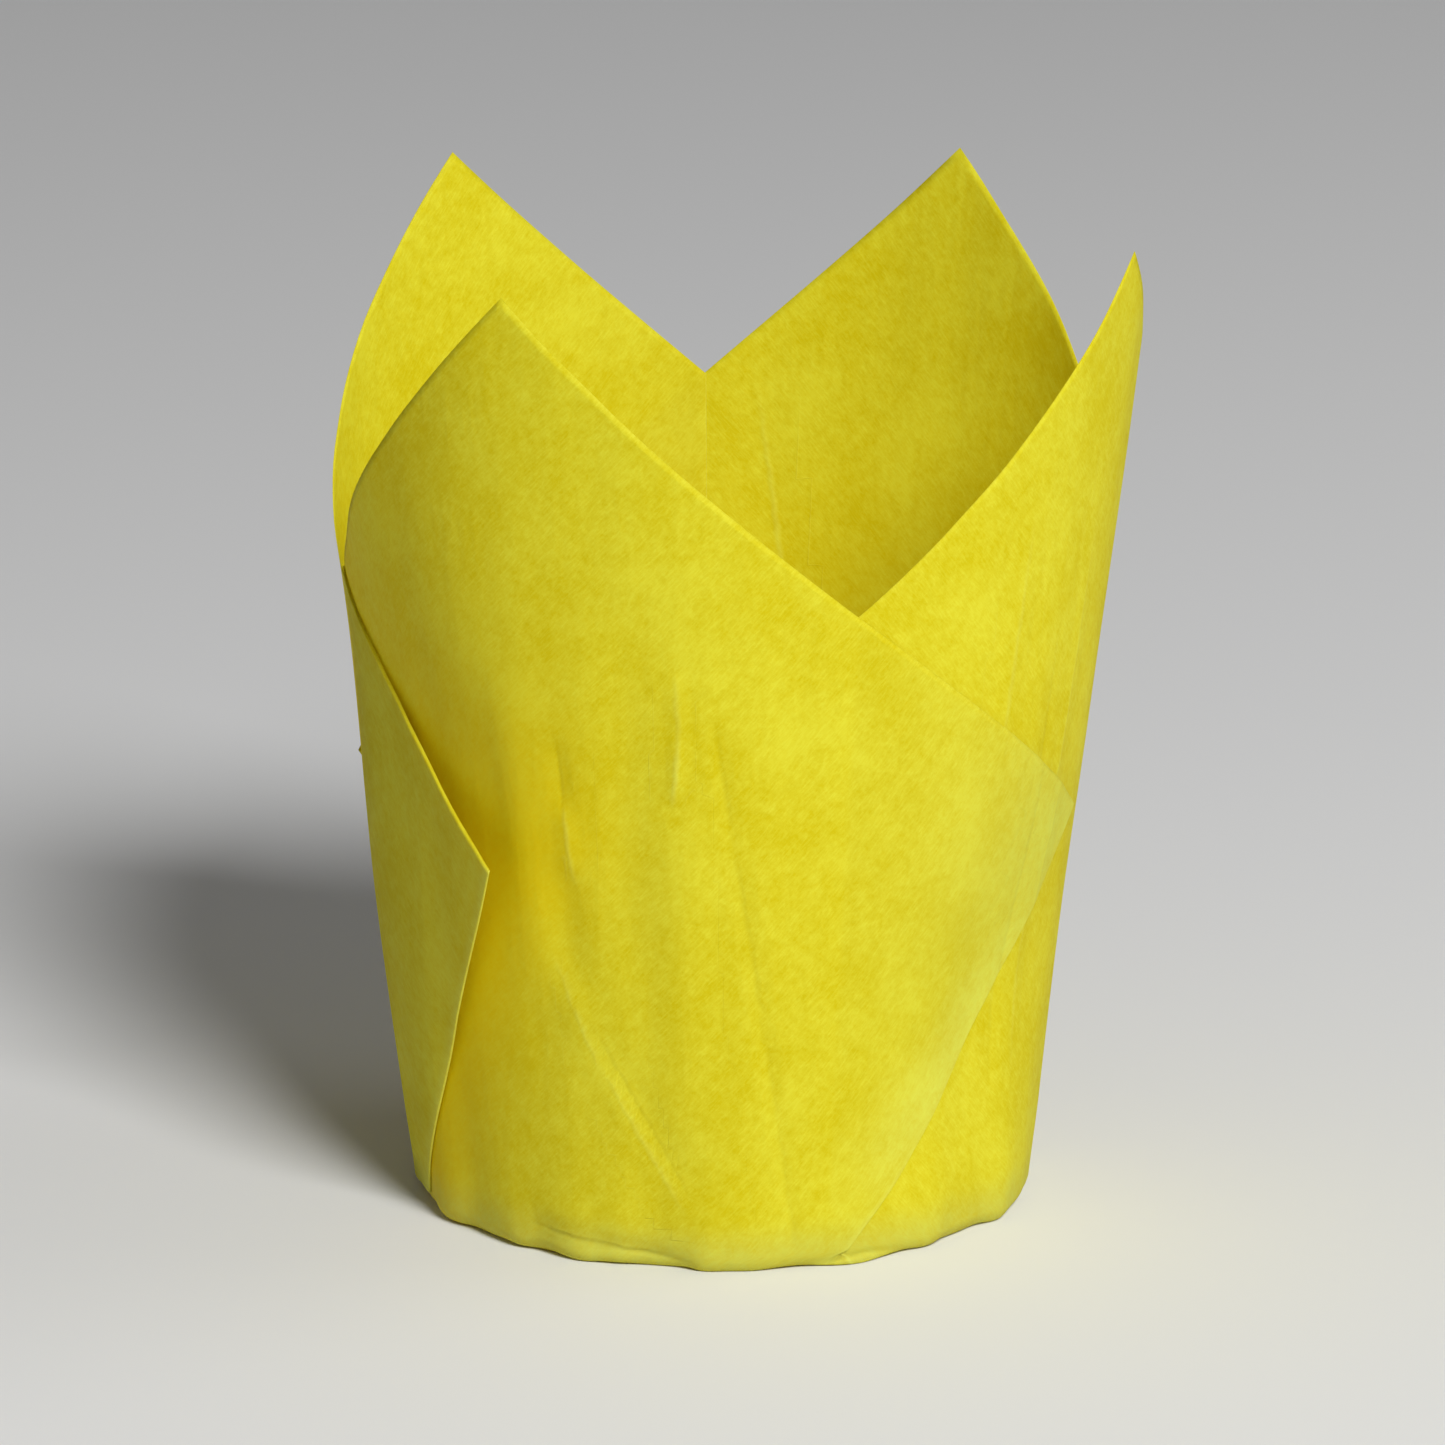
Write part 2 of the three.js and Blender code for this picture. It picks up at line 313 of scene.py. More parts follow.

# %% [markdown]
# Handling leaves creases. Random ones would look as likely, but the cup's own creases are
# what makes it this cup, so each is listed. It runs from a start to an end, given
# as an azimuth in degrees and a height in millimetres. Its relief is how far the paper
# stands out there, or sinks in where it is negative, and its width is half of the fold's,
# both in millimetres. A narrow crease also gets a sharp line in the material later on. A
# line of full relief is the sharpest, and one more than its reach away isn't looked for.

# %% The creases of handling
full_relief = 0.36
fine_width = 1.5
line_reach = 3.0
creases = [
    {"start": (-1.1, 47.5), "end": (1.9, 36.0), "relief": -0.14, "width": 0.6},
    {"start": (1.4, 38.0), "end": (9.8, 12.0), "relief": -0.14, "width": 0.7},
    {"start": (6.4, 22.5), "end": (14.1, 0.0), "relief": -0.12, "width": 0.6},
    {"start": (-6.7, 51.0), "end": (-6.2, 45.0), "relief": 0.14, "width": 0.6},
    {"start": (-6.2, 46.0), "end": (-7.3, 40.0), "relief": 0.24, "width": 0.6},
    {"start": (-25.6, 45.0), "end": (-25.0, 38.0), "relief": -0.16, "width": 0.9},
    {"start": (-25.2, 40.0), "end": (-23.7, 32.5), "relief": 0.16, "width": 0.8},
    {"start": (-26.2, 34.5), "end": (-25.0, 22.5), "relief": -0.34, "width": 1.7},
    {"start": (-28.3, 26.5), "end": (-20.0, 16.0), "relief": 0.15, "width": 1.3},
    {"start": (-21.5, 18.0), "end": (-6.0, 4.5), "relief": 0.16, "width": 1.2},
    {"start": (-23.0, 21.5), "end": (-5.0, 5.8), "relief": -0.18, "width": 1.3},
    {"start": (-13.5, 58.0), "end": (-15.5, 24.0), "relief": -0.26, "width": 2.4},
    {"start": (-36.0, 52.0), "end": (-31.0, 20.0), "relief": 0.22, "width": 2.2},
    {"start": (-4.0, 40.0), "end": (-7.0, 10.0), "relief": 0.20, "width": 2.2},
    {"start": (-38.0, 2.6), "end": (-4.5, 0.7), "relief": -0.42, "width": 0.7},
    {"start": (50.0, 62.0), "end": (47.0, 38.0), "relief": 0.12, "width": 1.3},
    {"start": (60.0, 52.0), "end": (57.5, 10.0), "relief": -0.14, "width": 1.0},
    {"start": (68.0, 60.0), "end": (64.0, 12.0), "relief": 0.14, "width": 1.0},
    {"start": (104.0, 47.0), "end": (98.0, 14.0), "relief": 0.18, "width": 1.2},
    {"start": (138.0, 40.0), "end": (150.0, 10.0), "relief": -0.18, "width": 1.0},
    {"start": (175.0, 60.0), "end": (168.0, 34.0), "relief": 0.15, "width": 0.9},
    {"start": (205.0, 46.0), "end": (196.0, 12.0), "relief": 0.18, "width": 1.0},
    {"start": (240.0, 30.0), "end": (232.0, 6.0), "relief": -0.18, "width": 1.2},
]
fine_creases = [crease for crease in creases if crease["width"] < fine_width]
print(len(creases), "creases,", len(fine_creases), "of them with a sharp line")


def crease_at(azimuth, height):
    """The creases' step off the wall, and the nearest one's distance in mm and strength."""
    step, nearest, strength = 0.0, line_reach, 0.0
    radius = base_radius / MM + height / MM * math.tan(wall_flare)
    to_mm = math.radians(1) * radius
    for crease in creases:
        first, last = crease["start"], crease["end"]
        point = Vector((turned(azimuth, first[0]) * to_mm, height / MM - first[1]))
        along = Vector(((last[0] - first[0]) * to_mm, last[1] - first[1]))
        share = min(max(point.dot(along) / along.length_squared, 0), 1)
        away = (point - along * share).length
        fade = 1 - abs(2 * share - 1) ** 3
        step += crease["relief"] * MM * fade * bell(away, 0, crease["width"])
        if away < abs(nearest):
            nearest = math.copysign(away, along.x * point.y - along.y * point.x)
            strength = crease["relief"] / full_relief * fade * (crease["width"] < fine_width)
    return step, nearest, max(-1, min(1, strength))


def details_at(azimuth, height):
    return (
        flat_at(azimuth, height) + gather_at(azimuth, height) + pucker_at(azimuth, height)
        + cockle_at(azimuth, height) + crease_at(azimuth, height)[0]
    )


# %% [markdown]
# Each layer of a pleat lies one pitch off the next. The layers could be stacked straight
# out from the wall, but then each petal would start with a step. So the face below rises
# by two pitches from its left fold to its right one, and the same spiral goes all the way
# round. A pleat's free corner lifts off the wall by a smooth curve.

# %% Layers and lift of a pleat
def pitches_at(column, azimuth, layer):
    sector = column["sector"]
    if not column["in_pleat"]:
        return 2 * (azimuth - sector["left"]) / (sector["right"] - sector["left"])
    following = sectors[(sector["index"] + 1) % len(petals)]
    return layer + 2 * (azimuth - sector["right"]) / (following["right"] - following["left"])


def lift_at(column, azimuth, slant):
    sector = column["sector"]
    if column["layer"] < 1:
        return 0.0
    reach = max(azimuth - sector["right"], 0) / (corner_azimuth - sector["right"])
    height = min(max(slant - apex_to_wall, 0) / lift_height, 1)
    return sector["lift"] * reach ** lift_curve * height


print("a pleat is", round((2 * layer_pitch + paper_thickness) / MM, 2), "mm thick")

# %% [markdown]
# Any point of the sheet lies on the wall, on the rounded edge or on the flat base. One
# formula for all three would hide the turn, so each has its own. On the wall a fold moves
# to the side by half a pitch, which makes it round. On the edge the pleats open out and
# sink into the base. On the front right of the edge the plug pinched out a thin lip.

# %% Where a point of the sheet goes
spread_power = 5
bow_starts = 0.35
relief_starts, relief_full = 0.1, 0.6
lip_azimuth = 26
lip_width = 6
lip_reach = 1.1 * MM
lip_share = 0.4
lip_thin = 0.13
lip_flat = 0.7
print("the base is flat out to", round(disc_radius / MM, 1), "mm from its middle")


def point_at(azimuth, radius, height):
    return Vector((radius * math.sin(azimuth), -radius * math.cos(azimuth), height))


def wall_point(column, share):
    sector = column["sector"]
    start = flat_from_wall(column["foot"], apex_to_wall)
    end = (column["across"], tip_on_sheet - abs(column["across"]))
    flat = (lerp(start[0], end[0], share), lerp(start[1], end[1], share))
    azimuth, slant = wall_from_flat(*flat)
    height = (slant - apex_to_base) * math.cos(wall_flare)
    radius = slant * math.sin(wall_flare)
    bow = sector["bow"] * column["reach"] * (1 - share)
    around = sector["middle"] + azimuth + bow + column["fold"] * layer_pitch / 2 / radius
    stand = (
        layer_pitch * pitches_at(column, azimuth, column["layer"])
        + lift_at(column, azimuth, slant) + details_at(around, height)
    )
    place = point_at(
        around,
        radius + stand * math.cos(wall_flare),
        paper_thickness / 2 + height - stand * math.sin(wall_flare),
    )
    return place, flat


def edge_point(column, share):
    sector = column["sector"]
    folded = share ** spread_power
    bow = sector["bow"] * column["reach"] * ease(share, bow_starts, 1)
    foot = column["foot"] + bow + column["fold"] * layer_pitch / 2 / base_radius
    around = sector["middle"] + lerp(column["disc_azimuth"], foot, folded)
    layer = lerp(column["disc_layer"], column["layer"], folded)
    turn = edge_turn * share
    height = edge_radius * (1 - math.cos(turn))
    stand = ease(share, relief_starts, relief_full) * (
        layer_pitch * pitches_at(column, column["foot"], layer) + details_at(around, height)
    )
    lip = bell(turned(around, lip_azimuth), 0, lip_width) * bell(share, lip_share, lip_thin)
    reach = edge_radius + stand
    above = max(edge_radius - reach * math.cos(turn), 0) * (1 - lip_flat * lip)
    place = point_at(
        around,
        disc_radius + reach * math.sin(turn) + lip_reach * lip,
        paper_thickness / 2 + above,
    )
    start = flat_from_wall(column["foot"], apex_to_wall)
    along = (disc_radius + edge_radius * turn) / sheet_to_wall
    return place, (start[0] * along, start[1] * along)


def disc_point(column, share):
    azimuth = column["sector"]["middle"] + column["disc_azimuth"]
    start = flat_from_wall(column["foot"], apex_to_wall)
    along = disc_radius * share / sheet_to_wall
    place = point_at(azimuth, disc_radius * share, paper_thickness / 2)
    return place, (start[0] * along, start[1] * along)


# %% [markdown]
# The sheet's rows go from the middle of the base, over the rounded edge and up the wall.
# They could be spaced evenly, but the edge turns in a short way, so it gets rows of its
# own. Each point also keeps its place on the flat square, in a frame that turns by a
# quarter from petal to petal, so that the fibres run on over the folds.

# %% The rows of the sheet
disc_rows = 6
edge_rows = 11
wall_rows = 84
row_count = disc_rows + edge_rows + wall_rows
print(row_count, "rows from the middle of the base to the free edge")


def sheet_point(column, row):
    if row <= disc_rows:
        return disc_point(column, row / disc_rows)
    if row < disc_rows + edge_rows:
        return edge_point(column, (row - disc_rows) / edge_rows)
    return wall_point(column, (row - disc_rows - edge_rows) / wall_rows)


def square_place(column, flat):
    """Where this point lies on the flat square, in millimetres from its middle."""
    across, along = flat
    if column["in_pleat"] and column["layer"] < 1.5:
        across, along = along, across
    angle = math.radians(45 + 90 * column["sector"]["index"])
    return (
        (along * math.cos(angle) - across * math.sin(angle)) / MM,
        (along * math.sin(angle) + across * math.cos(angle)) / MM,
    )


# %% [markdown]
# Use marks paper in known places. A fold wears pale. A pleat that lies flat on the wall
# turns pale along its outer fold and round its free corner, where the layers part. Beside
# a pleat that stands off, an orange glow is painted on the wall, standing in for light
# that comes through the pleat and bounces off it. All of this could be painted by hand,
# but here each point works it out from its column, row and place, so the marks move with
# the folds when a size changes.

# %% Values for the finish and the painted glow
fold_width = 0.4 * MM
flap_wear = 0.7
pale_width = 3.6 * MM
pale_corner = 12 * MM
pale_rise = 0.3
band_pale = 0.75
corner_pale = 0.85
pressed_lift = 1.6 * MM
painted_glow_width = 6.0 * MM


def wall_share(row):
    return max(row - disc_rows - edge_rows, 0) / wall_rows


def inside_fold(column, row):
    """How far inside its outer fold this point of a flap lies."""
    width = tip_on_sheet / 2 - rim_at(column["sector"]["right"])
    return (1 - column["reach"]) * lerp(root_overlap, width, wall_share(row))


def pressed(sector):
    """1 for a pleat that lies flat on the wall, 0 for one that stands well off it."""
    return bell(sector["lift"], 0, pressed_lift)


def wear_of(column, row):
    if column["layer"] <= 1:
        return abs(column["fold"])
    on_flap = flap_wear * bell(inside_fold(column, row), 0, fold_width)
    return max(abs(column["fold"]), on_flap)


def pale_of(column, row):
    """1 along the outer fold and round the free corner of a pressed pleat."""
    if column["layer"] <= 1:
        return 0.0
    share = wall_share(row)
    inside = inside_fold(column, row)
    away = math.hypot(inside, (1 - share) * corner_height)
    band = band_pale * bell(inside, 0, pale_width) * ease(share, 0, pale_rise)
    corner = corner_pale * bell(away, 0, pale_corner)
    return pressed(column["sector"]) * max(band, corner)


def painted_glow_of(column, place):
    """Painted glow: 1 on the wall beside the outer fold of the pleat that lies over it."""
    if column["in_pleat"]:
        return 0.0
    before = sectors[column["sector"]["index"] - 1]
    height = min(max(place.z / corner_height, 0), 1)
    fold = lerp(before["right"] + before["overlap"] + before["bow"], corner_azimuth, height)
    fold_azimuth = math.degrees(before["middle"] + fold)
    aside = math.radians(turned(math.atan2(place.x, -place.y), fold_azimuth))
    above = max(place.z - corner_height, 0)
    glow = bell(max(aside * base_radius, 0), 0, painted_glow_width) * bell(above, 0, 2 * painted_glow_width)
    return glow * (1 - pressed(before))


def finish_and_painted_light_of(column, place, row):
    _, away, sharp = crease_at(math.atan2(place.x, -place.y), place.z)
    shows = row > disc_rows
    return {
        "wear": wear_of(column, row),
        "pale": pale_of(column, row),
        # The painted glow, for light bounced off a standing pleat, is kept only off the flat
        # base.
        "painted_glow": painted_glow_of(column, place) if shows else 0.0,
        "crease": away,
        "sharp": sharp if shows else 0.0,
    }


flat_pleats = sum(pressed(sector) > 0.5 for sector in sectors)
print(flat_pleats, "pleats lie flat,", len(sectors) - flat_pleats, "stand off the wall")

# %% [markdown]
# The sheet starts as a plain grid, as paper starts flat. A cloth simulation could fold it,
# but not to the same shape twice, so the grid's points are moved to their places. Merging
# doubles closes the last column on the first, and the first row to one point. A UV map
# keeps each point's place on the square, and named values keep its marks: how far the
# nearest crease is and how sharp, where the paper has wear or is pale, and where the
# painted glow of bounced light goes.

# %% Fold the sheet
merge_distance = 0.002 * MM

mesh = bpy.data.meshes.new("folded_paper")
bm = bmesh.new()
bmesh.ops.create_grid(bm, x_segments=len(columns), y_segments=row_count, size=0.5)
uv_layer = bm.loops.layers.uv.new("Sheet")
finish_and_painted_light_names = ("wear", "pale", "painted_glow", "crease", "sharp")
finish_and_painted_light_layers = {name: bm.verts.layers.float.new(name) for name in finish_and_painted_light_names}
square_of = {}
for vert in bm.verts:
    column = columns[round((vert.co.x + 0.5) * len(columns)) % len(columns)]
    row = round((vert.co.y + 0.5) * row_count)
    place, flat = sheet_point(column, row)
    square_of[vert] = square_place(column, flat)
    vert.co = place
    for name, value in finish_and_painted_light_of(column, place, row).items():
        vert[finish_and_painted_light_layers[name]] = value
for face in bm.faces:
    for loop in face.loops:
        x, y = square_of[loop.vert]
        loop[uv_layer].uv = x * MM / sheet_side + 0.5, y * MM / sheet_side + 0.5
bmesh.ops.remove_doubles(bm, verts=bm.verts, dist=merge_distance)
bmesh.ops.recalc_face_normals(bm, faces=bm.faces)
lowest = min(bm.faces, key=lambda face: face.calc_center_median().z)
if lowest.normal.z > 0:
    bmesh.ops.reverse_faces(bm, faces=bm.faces)
for face in bm.faces:
    face.smooth = True
bm.to_mesh(mesh)
bm.free()
cup = bpy.data.objects.new("folded_paper", mesh)
bpy.context.scene.collection.objects.link(cup)
print("folded sheet:", len(mesh.vertices), "points,", len(mesh.polygons), "faces")

# %% [markdown]
# The sheet has no thickness yet. A second skin could be folded beside it, but a Solidify
# modifier does the same: it gives the real paper's thickness, half to each side of the
# skin, and closes the cut edge. The sheet then rides on the frame's root and stands in
# for the solid cup.

# %% Give the paper its thickness
thick = cup.modifiers.new("paper thickness", "SOLIDIFY")
thick.thickness = paper_thickness
thick.offset = 0
thick.use_even_offset = False
thick.use_rim = True

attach(cup, "root")
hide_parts("paper_cup")
print("paper", round(paper_thickness / MM, 2), "mm thick, with a cut edge all round")

# %% [markdown]
# A material is a tree of nodes. Each node could be made and linked where it is needed, but
# then the finish would be lost among sockets. So there is a small helper for each kind of
# node, and a material reads as a few lines.

# %% Helpers for nodes
def linked(tree, socket, value):
    if isinstance(value, bpy.types.NodeSocket):
        tree.links.new(value, socket)
    else:
        socket.default_value = value


def noise_node(tree, vector, scale, detail, roughness=0.5):
    node = tree.nodes.new("ShaderNodeTexNoise")
    node.inputs["Scale"].default_value = scale
    node.inputs["Detail"].default_value = detail
    node.inputs["Roughness"].default_value = roughness
    tree.links.new(vector, node.inputs["Vector"])
    return node.outputs["Fac"]


def mapped(tree, vector, scale, turn=0.0):
    node = tree.nodes.new("ShaderNodeMapping")
    node.inputs["Scale"].default_value = scale
    node.inputs["Rotation"].default_value = (0, 0, turn)
    tree.links.new(vector, node.inputs["Vector"])
    return node.outputs["Vector"]


def maths(tree, operation, first, second=0.0):
    node = tree.nodes.new("ShaderNodeMath")
    node.operation = operation
    linked(tree, node.inputs[0], first)
    linked(tree, node.inputs[1], second)
    return node.outputs[0]


def vector_maths(tree, operation, first, second):
    node = tree.nodes.new("ShaderNodeVectorMath")
    node.operation = operation
    linked(tree, node.inputs[0], first)
    linked(tree, node.inputs[1], second)
    return node


def remapped(tree, value, low, high, new_low, new_high, smooth=False):
    node = tree.nodes.new("ShaderNodeMapRange")
    node.interpolation_type = "SMOOTHSTEP" if smooth else "LINEAR"
    for name, number in (
        ("From Min", low), ("From Max", high), ("To Min", new_low), ("To Max", new_high),
    ):
        node.inputs[name].default_value = number
    tree.links.new(value, node.inputs["Value"])
    return node.outputs["Result"]


def mixed_colour(tree, share, first, second):
    node = tree.nodes.new("ShaderNodeMix")
    node.data_type = "RGBA"
    linked(tree, node.inputs["Factor"], share)
    linked(tree, node.inputs[6], first)
    linked(tree, node.inputs[7], second)
    return node.outputs[2]


def attribute(tree, name):
    node = tree.nodes.new("ShaderNodeAttribute")
    node.attribute_name = name
    return node.outputs["Fac"]


# %% [markdown]
# What a material uses more than once, or what is worth a name, becomes a group of nodes.

# %% Helper for node groups
def new_group(name, inputs, outputs):
    tree = bpy.data.node_groups.new(name, "ShaderNodeTree")
    for label, kind in inputs:
        tree.interface.new_socket(label, in_out="INPUT", socket_type=kind)
    for label in outputs:
        tree.interface.new_socket(label, in_out="OUTPUT", socket_type="NodeSocketFloat")
    start = tree.nodes.new("NodeGroupInput").outputs
    end = tree.nodes.new("NodeGroupOutput").inputs
    return tree, start, end


# %% [markdown]
# Greaseproof paper is dyed in the pulp, so its colour goes right through. Close up it is
# cloudy: the fibres lie thicker in some places than in others. Noise on the solid's own
# axes would cut across the folds, so this noise is measured in millimetres on the flat
# sheet. One group makes the cloud and the fibres. The cloud adds a wide noise and a fine
# one, and the fibres are two noises drawn out along different lines.

# %% Node group for the paper's formation
clouds = [
    {"scale": 0.13, "detail": 2, "roughness": 0.6, "share": 0.4},
    {"scale": 0.9, "detail": 4, "roughness": 0.85, "share": 0.6},
]
fibre_stretch = (0.7, 6, 1)
fibre_turns = (0.6, 2.1)
fibre_low, fibre_high = 0.5, 0.75


def formation_group():
    tree, start, end = new_group(
        "paper formation", [("Vector", "NodeSocketVector")], ["Cloud", "Fibre"],
    )
    place = start["Vector"]
    parts = []
    for cloud in clouds:
        part = noise_node(tree, place, cloud["scale"], cloud["detail"], cloud["roughness"])
        parts.append(maths(tree, "MULTIPLY", part, cloud["share"]))
    tree.links.new(maths(tree, "ADD", parts[0], parts[1]), end["Cloud"])
    fibres = []
    for turn in fibre_turns:
        line = mapped(tree, place, fibre_stretch, turn)
        fibres.append(noise_node(tree, line, 1.0, 1, 0.7))
    most = maths(tree, "MAXIMUM", fibres[0], fibres[1])
    tree.links.new(remapped(tree, most, fibre_low, fibre_high, 0, 1), end["Fibre"])
    return tree


formation = formation_group()
print(formation.name, "has", len(formation.nodes), "nodes")

# %% [markdown]
# A handling crease shows as a thin line in the paper. It could be cut into the mesh, but a
# line is finer than the mesh's faces, so the material draws it from the distance that each
# point keeps, and lets it wander a little, as a crease does. The line is 1 where the paper
# stands out and -1 where it sinks in. It feeds the bump, and the colour, where it paints
# shade into sunk lines and, with some wear, a highlight onto raised ones.

# %% The line of a crease
line_width = 0.4
line_wander = 0.22
wander_scale = 0.6


def crease_relief(tree, square):
    wander = noise_node(tree, square, wander_scale, 2)
    wander = remapped(tree, wander, 0, 1, -line_wander, line_wander)
    away = maths(tree, "ABSOLUTE", maths(tree, "ADD", attribute(tree, "crease"), wander))
    line = remapped(tree, away, 0, line_width, 1, 0, smooth=True)
    return maths(tree, "MULTIPLY", line, attribute(tree, "sharp"))


# %% [markdown]
# The paper's yellow is lighter where its fibres lie thick. Broken fibres scatter more
# light, so folds that wear and pressed layers are paler, each by its own mask. Raised
# creases are paler too, partly from wear and partly as a painted highlight on the ridge.
# Sunk creases are deeper, as painted shade, and the wall beside a standing pleat is
# more orange, as a painted glow of light bounced off the pleat. Low on the wall the
# yellow turns a dull grey-green, partly rubbed paper and partly painted shade of the low
# edge, which faces down. One plain yellow would do from afar, but close up it looks like
# plastic.

# %% The colour of the paper
light_yellow = (0.93, 0.89, 0.060, 1)
deep_yellow = (0.79, 0.715, 0.008, 1)
pale_yellow = (0.88, 0.95, 0.17, 1)
# A painted glow, for light bounced off a standing pleat onto the wall.
painted_glow_yellow = (0.95, 0.77, 0.004, 1)
# Painted shade in sunk creases.
crease_shade_yellow = (0.55, 0.47, 0.004, 1)
# Rubbed paper near the base, with painted shade of the low edge, which faces down.
rub_and_shade_yellow = (0.66, 0.71, 0.16, 1)
crease_shade_share = 0.35
wear_and_highlight_share = 0.6
painted_glow_share = 0.9
rub_and_shade_share = 0.75
rub_and_shade_from = 0.3 * MM
rub_and_shade_height = 5 * MM
patchy_low, patchy_high = 0.4, 1.0
cloud_low, cloud_high = 0.3, 0.7
thin_cloud, thick_cloud = 0.40, 0.60
cloud_weight, fibre_weight = 0.75, 0.4


def density_of(tree, cloud, fibre):
    """0 where the fibres lie thin and 1 where they lie thick."""
    density = remapped(tree, cloud, thin_cloud, thick_cloud, 0, cloud_weight)
    return maths(tree, "ADD", density, maths(tree, "MULTIPLY", fibre, fibre_weight))


def paper_colour(tree, solid, cloud, density, relief):
    patchy = remapped(tree, cloud, cloud_low, cloud_high, patchy_low, patchy_high)
    raised = maths(tree, "MAXIMUM", relief, 0.0)
    sunk = maths(tree, "MAXIMUM", maths(tree, "MULTIPLY", relief, -1), 0)
    axes = tree.nodes.new("ShaderNodeSeparateXYZ")
    tree.links.new(solid, axes.inputs["Vector"])
    height = axes.outputs["Z"]

    colour = mixed_colour(tree, density, deep_yellow, light_yellow)
    # Painted shade in the sunk creases.
    share = maths(tree, "MULTIPLY", sunk, crease_shade_share)
    colour = mixed_colour(tree, share, colour, crease_shade_yellow)
    # Painted glow beside a standing pleat, for the light bounced off it.
    share = maths(tree, "MULTIPLY", attribute(tree, "painted_glow"), painted_glow_share)
    colour = mixed_colour(tree, share, colour, painted_glow_yellow)
    # Near the base: rubbed paper, and painted shade of the low edge.
    low = remapped(tree, height, rub_and_shade_from, rub_and_shade_height, rub_and_shade_share, 0, smooth=True)
    colour = mixed_colour(tree, maths(tree, "MULTIPLY", low, patchy), colour, rub_and_shade_yellow)
    # Folds wear pale; raised creases get some wear and a painted highlight.
    wear_and_highlight = maths(tree, "ADD", attribute(tree, "wear"), raised)
    wear_and_highlight = maths(tree, "MULTIPLY", wear_and_highlight, wear_and_highlight_share)
    pale = maths(tree, "MULTIPLY", attribute(tree, "pale"), patchy)
    return mixed_colour(tree, maths(tree, "MAXIMUM", wear_and_highlight, pale), colour, pale_yellow)


# %% [markdown]
# The last relief is too fine for the mesh: the grain of the fibres, faint upright streaks
# from the press, and the crease lines. All three are heights for one bump, which is far
# cheaper than real displacement and is only hundredths of a millimetre deep.

# %% The fine relief of the paper
grain_scale, grain_height = 1.6, 0.6
streak_stretch = (1100, 1100, 30)
streak_height = 0.9
line_height = 1.6
bump_strength = 0.75
bump_distance = 0.06 * MM


def fine_bump(tree, square, solid, relief):
    grain = noise_node(tree, square, grain_scale, 2, 0.7)
    streaks = noise_node(tree, mapped(tree, solid, streak_stretch), 1.0, 1, 0.6)
    height = maths(tree, "MULTIPLY", grain, grain_height)
    height = maths(tree, "ADD", height, maths(tree, "MULTIPLY", streaks, streak_height))
    height = maths(tree, "ADD", height, maths(tree, "MULTIPLY", relief, line_height))
    bump = tree.nodes.new("ShaderNodeBump")
    bump.inputs["Strength"].default_value = bump_strength
    bump.inputs["Distance"].default_value = bump_distance
    tree.links.new(height, bump.inputs["Height"])
    return bump.outputs["Normal"]


# %% [markdown]
# Thin paper glows when light falls on its back. Glass-like transmission would show what
# lies behind it, which greaseproof paper doesn't do, so the paper mixes a matt Principled
# surface with a Translucent one, whose yellow is a little deeper.

# %% The paper
glow_yellow = (0.92, 0.76, 0.008, 1)
translucency = 0.42
paper_specular = 0.12
paper_ior = 1.45
roughness_thin, roughness_thick = 0.64, 0.52


def paper_material():
    material = bpy.data.materials.new("yellow greaseproof paper")
    material.use_nodes = True
    tree = material.node_tree
    tree.nodes.clear()
    place = tree.nodes.new("ShaderNodeUVMap")
    place.uv_map = "Sheet"
    middle = vector_maths(tree, "SUBTRACT", place.outputs["UV"], (0.5, 0.5, 0)).outputs[0]
    square = mapped(tree, middle, (sheet_side / MM, sheet_side / MM, 1))
    solid = tree.nodes.new("ShaderNodeTexCoord").outputs["Object"]
    paper = tree.nodes.new("ShaderNodeGroup")
    paper.node_tree = formation
    tree.links.new(square, paper.inputs["Vector"])
    cloud, fibre = paper.outputs["Cloud"], paper.outputs["Fibre"]
    density = density_of(tree, cloud, fibre)
    relief = crease_relief(tree, square)

    surface = tree.nodes.new("ShaderNodeBsdfPrincipled")
    surface.inputs["Specular IOR Level"].default_value = paper_specular
    surface.inputs["IOR"].default_value = paper_ior
    colour = paper_colour(tree, solid, cloud, density, relief)
    tree.links.new(colour, surface.inputs["Base Color"])
    roughness = remapped(tree, cloud, cloud_low, cloud_high, roughness_thin, roughness_thick)
    tree.links.new(roughness, surface.inputs["Roughness"])
    tree.links.new(fine_bump(tree, square, solid, relief), surface.inputs["Normal"])

    glow = tree.nodes.new("ShaderNodeBsdfTranslucent")
    tree.links.new(mixed_colour(tree, density, glow_yellow, light_yellow), glow.inputs["Color"])
    mix = tree.nodes.new("ShaderNodeMixShader")
    mix.inputs["Fac"].default_value = translucency
    tree.links.new(surface.outputs["BSDF"], mix.inputs[1])
    tree.links.new(glow.outputs["BSDF"], mix.inputs[2])
    output = tree.nodes.new("ShaderNodeOutputMaterial")
    tree.links.new(mix.outputs["Shader"], output.inputs["Surface"])
    return material


cup.data.materials.append(paper_material())
print("paper material with", len(cup.data.materials[0].node_tree.nodes), "nodes")

# %% [markdown]
# The cup stands on a plain pale floor that keeps its shadow. A curved backdrop could close
# the view, but the camera looks down, so a flat sheet that is wide enough fills it.

# %% The floor
floor_size = 8.0
floor_grey = (0.78, 0.78, 0.78, 1)


def plain_material(name, colour, roughness):
    material = bpy.data.materials.new(name)
    material.use_nodes = True
    surface = material.node_tree.nodes["Principled BSDF"]
    surface.inputs["Base Color"].default_value = colour
    surface.inputs["Roughness"].default_value = roughness
    surface.inputs["Specular IOR Level"].default_value = 0.2
    return material


floor_mesh = bpy.data.meshes.new("floor")
bm = bmesh.new()
bmesh.ops.create_grid(bm, x_segments=1, y_segments=1, size=floor_size / 2)
bm.to_mesh(floor_mesh)
bm.free()
floor = bpy.data.objects.new("floor", floor_mesh)
bpy.context.scene.collection.objects.link(floor)
floor.data.materials.append(plain_material("pale floor", floor_grey, 0.9))
print("floor", floor_size, "m wide")

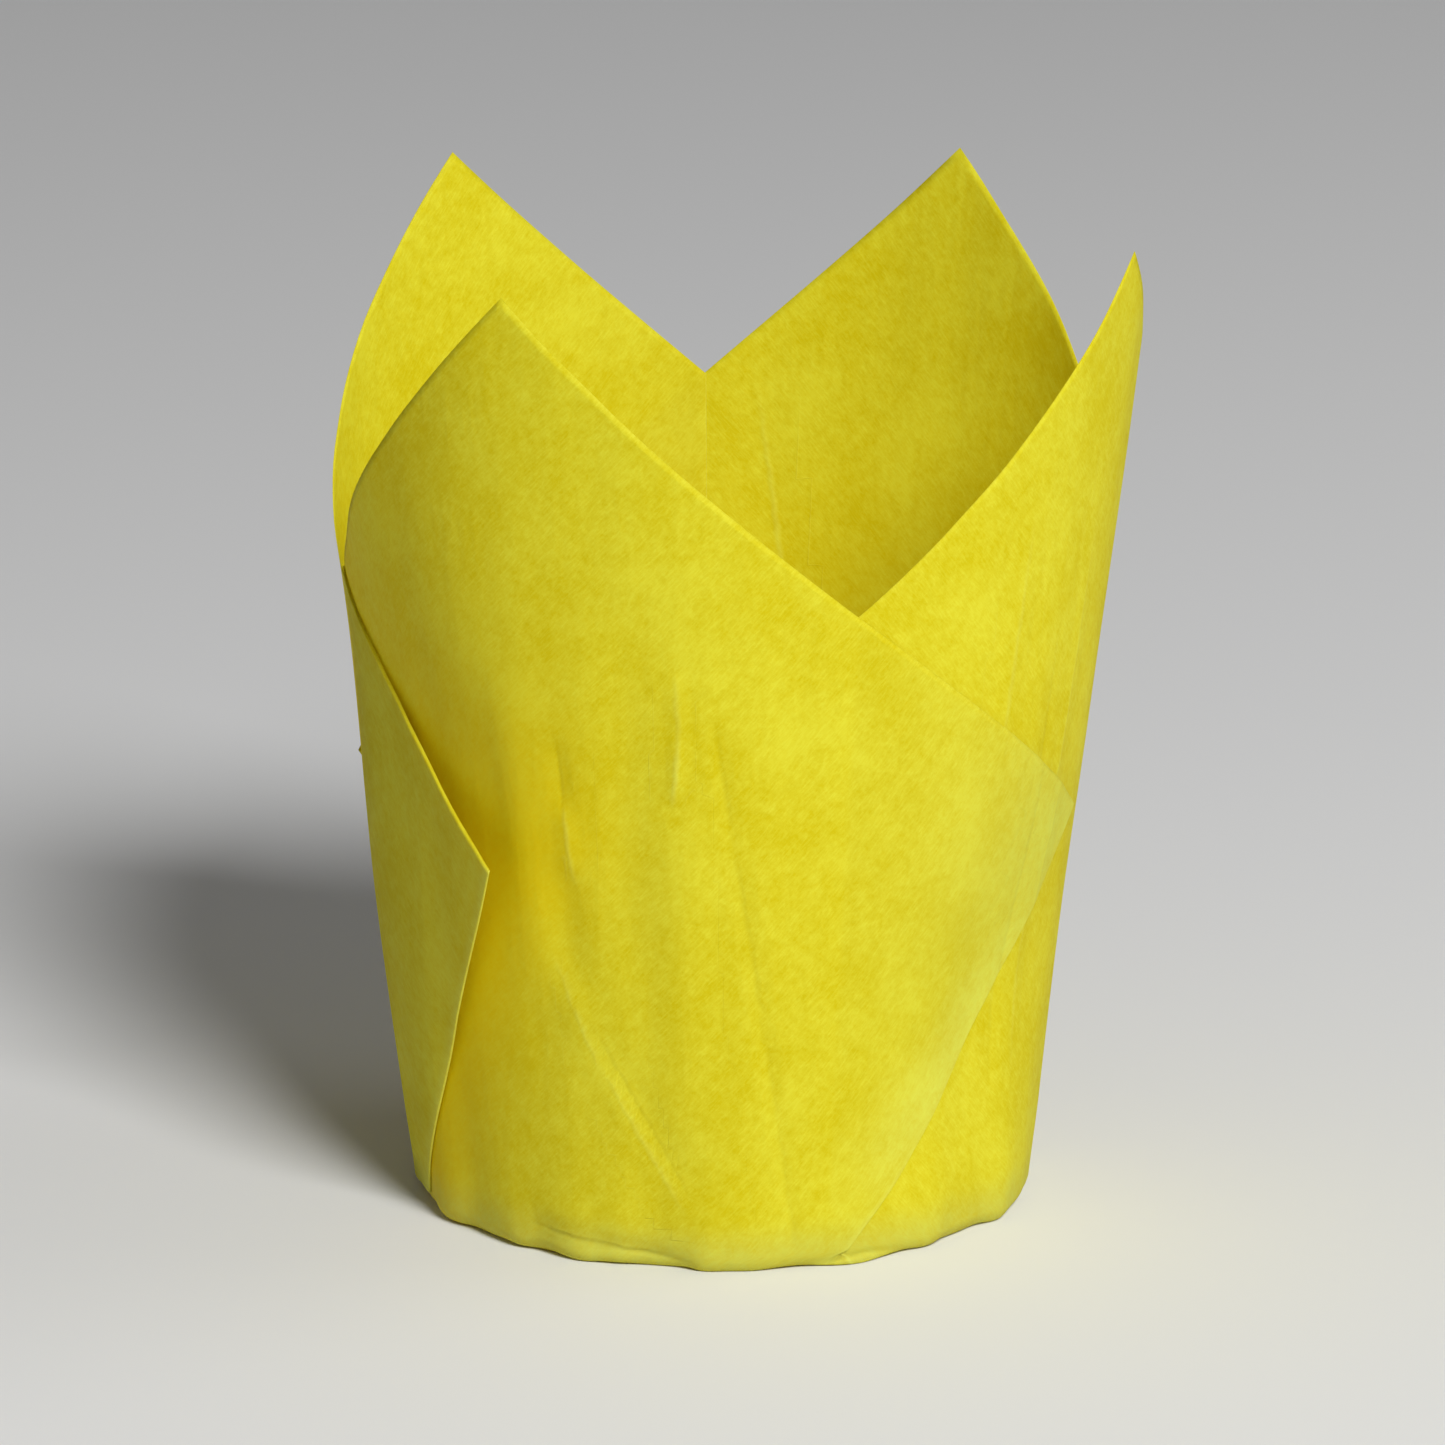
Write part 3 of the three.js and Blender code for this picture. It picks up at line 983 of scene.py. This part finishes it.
# %% [markdown]
# A large soft lamp in front, above and to the right shapes the cup as window light does,
# and a weak one on the right keeps that side clear. The left side stays in shade. More
# lamps would flatten the folds. The world is pale where the camera sees it, and gives only
# a little light, so that the shadow keeps its depth.

# %% Lamps and world
lamp_target = Vector((0, 0, 0.04))


def soft_lamp(name, place, size, power):
    lamp = bpy.data.lights.new(name, "AREA")
    lamp.shape = "DISK"
    lamp.size = size
    lamp.energy = power
    holder = bpy.data.objects.new(name, lamp)
    holder.location = place
    aim = lamp_target - Vector(place)
    holder.rotation_euler = aim.to_track_quat("-Z", "Y").to_euler()
    bpy.context.scene.collection.objects.link(holder)


soft_lamp("key lamp", (0.44, -1.0, 0.92), 0.5, 20.5)
soft_lamp("side lamp", (1.0, 0.1, 0.6), 0.8, 1.5)

world_colour = (1, 1, 1, 1)
world_fill = 0.12
world_seen = 0.85


def studio_world():
    made = bpy.data.worlds.new("studio")
    made.use_nodes = True
    tree = made.node_tree
    back = tree.nodes["Background"]
    back.inputs["Color"].default_value = world_colour
    seen = tree.nodes.new("ShaderNodeLightPath").outputs["Is Camera Ray"]
    tree.links.new(remapped(tree, seen, 0, 1, world_fill, world_seen), back.inputs["Strength"])
    return made


bpy.context.scene.world = studio_world()
print(len(bpy.data.lights), "lamps, world fill", world_fill)

# %% [markdown]
# The camera stands where the photograph was taken from, a little above the cup and about
# 0.8 m away. A nearer camera with a short lens would swell the front petal, so the lens is
# long. Its length follows from how much height the view holds at the cup.

# %% Camera and view
camera_place = Vector((2.3 * MM, -794 * MM, 247.5 * MM))
camera_target = Vector((0, 0, 39 * MM))
view_height = 118 * MM
sensor_width = 36.0

camera_data = bpy.data.cameras.new("camera")
camera_data.sensor_width = sensor_width
camera_data.lens = sensor_width * (camera_target - camera_place).length / view_height
camera = bpy.data.objects.new("camera", camera_data)
camera.location = camera_place
camera.rotation_euler = (camera_target - camera_place).to_track_quat("-Z", "Y").to_euler()
bpy.context.scene.collection.objects.link(camera)
bpy.context.scene.camera = camera
bpy.context.scene.view_settings.view_transform = "Standard"
print("lens", round(camera_data.lens), "mm")
